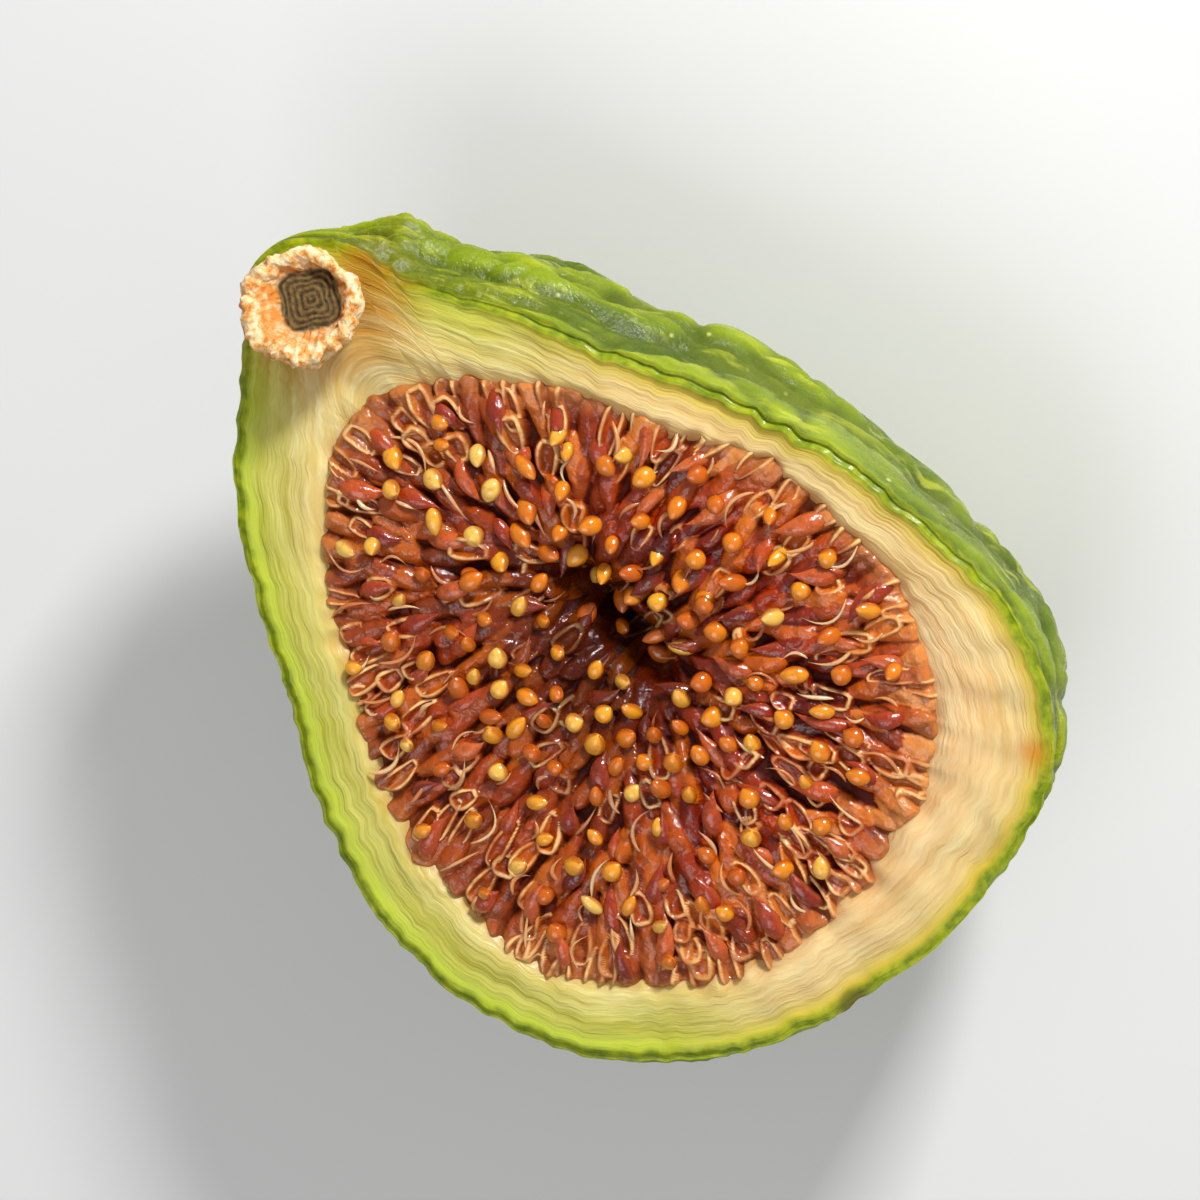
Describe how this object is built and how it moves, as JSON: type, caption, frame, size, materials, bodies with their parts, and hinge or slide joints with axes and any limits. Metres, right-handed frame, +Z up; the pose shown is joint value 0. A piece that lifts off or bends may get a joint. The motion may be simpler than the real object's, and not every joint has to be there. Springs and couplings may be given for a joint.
{
  "type": "freeze-dried fig half",
  "caption": "Halved freeze-dried green fig with its stalk stub, resting on its skin with the seedy cut face up.",
  "frame": {"origin": "under the middle of the object's box, on the surface that it rests on", "axes": "+X along the fruit from the blossom end to the stalk, +Z up out of the cut face, +Y across the fruit to its fuller side"},
  "size_m": [0.0332, 0.0256, 0.0148],
  "materials": {
    "fruit": "wrinkled glossy green skin, satin cream to peach rind on the cut face",
    "pulp": "glossy red-brown flesh of packed florets",
    "seed": "glossy golden seeds",
    "stalk": "dry tan fibrous stalk with a dark core"
  },
  "bodies": {
    "root": {"fig_half": "fruit", "stem_stub": "stalk"}
  },
  "joints": []
}
